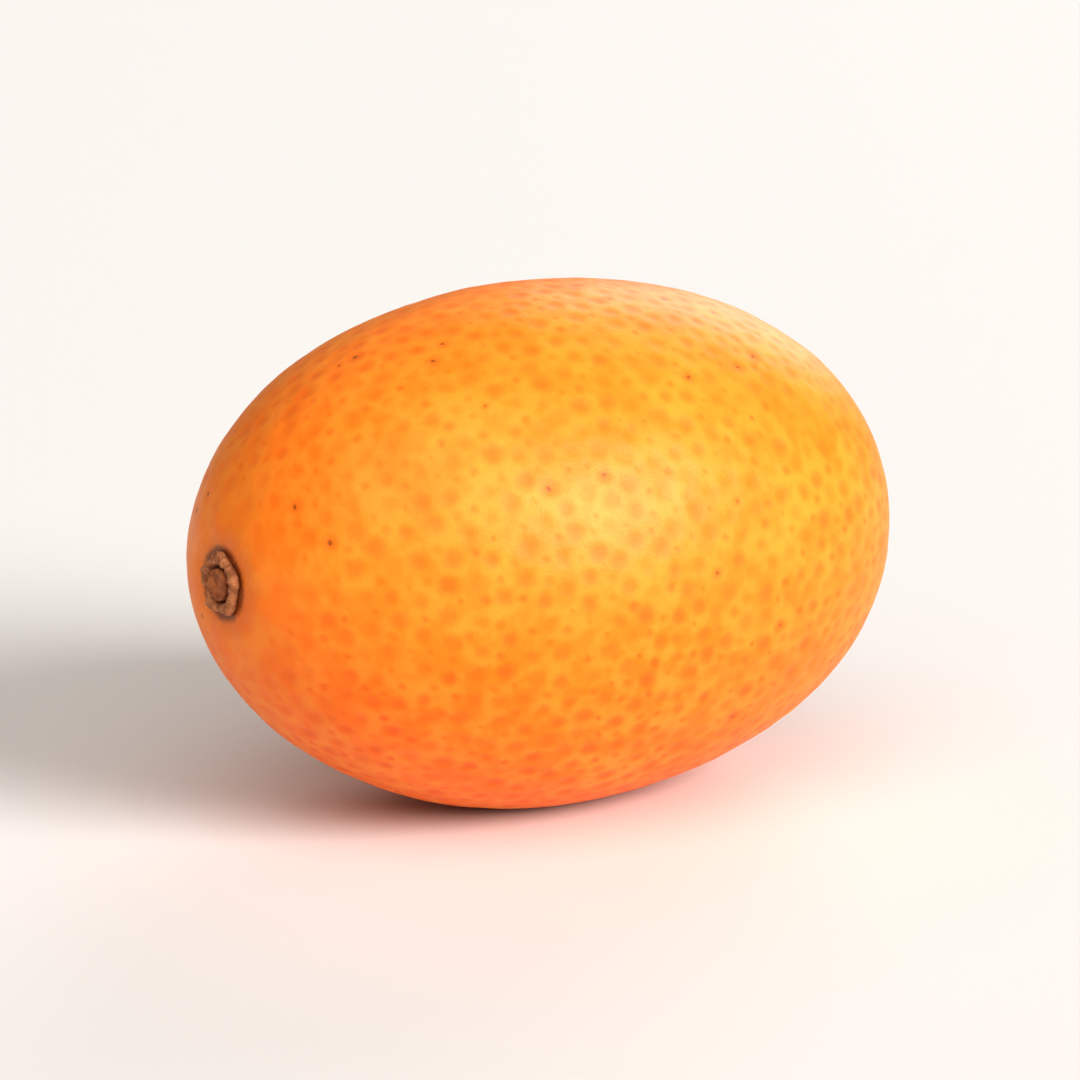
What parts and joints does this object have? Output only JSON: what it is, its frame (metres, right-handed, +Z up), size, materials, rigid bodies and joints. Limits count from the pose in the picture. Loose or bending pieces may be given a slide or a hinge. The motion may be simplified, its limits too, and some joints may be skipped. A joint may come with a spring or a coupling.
{
  "type": "kumquat",
  "caption": "Whole oval kumquat, as picked, lying on its side on a small flat spot, with its dried calyx and stem stub at one end and a style tip at the other.",
  "frame": {"origin": "centre of the small flat spot that the fruit rests on, under its widest section", "axes": "+Z up; +X along the fruit's long axis towards its blossom end, so the stem end is towards -X; +Y across the fruit"},
  "size_m": [0.038, 0.0266, 0.0259],
  "materials": {
    "orange_peel": "waxy peel, pitted with oil glands",
    "dried_calyx": "dry, rough, tan brown",
    "dried_stem": "dry, broken end of a stalk",
    "dried_style": "dry, nearly black"
  },
  "bodies": {
    "root": {"fruit": "orange_peel", "calyx": "dried_calyx", "stem_stub": "dried_stem", "style_tip": "dried_style"}
  },
  "joints": []
}
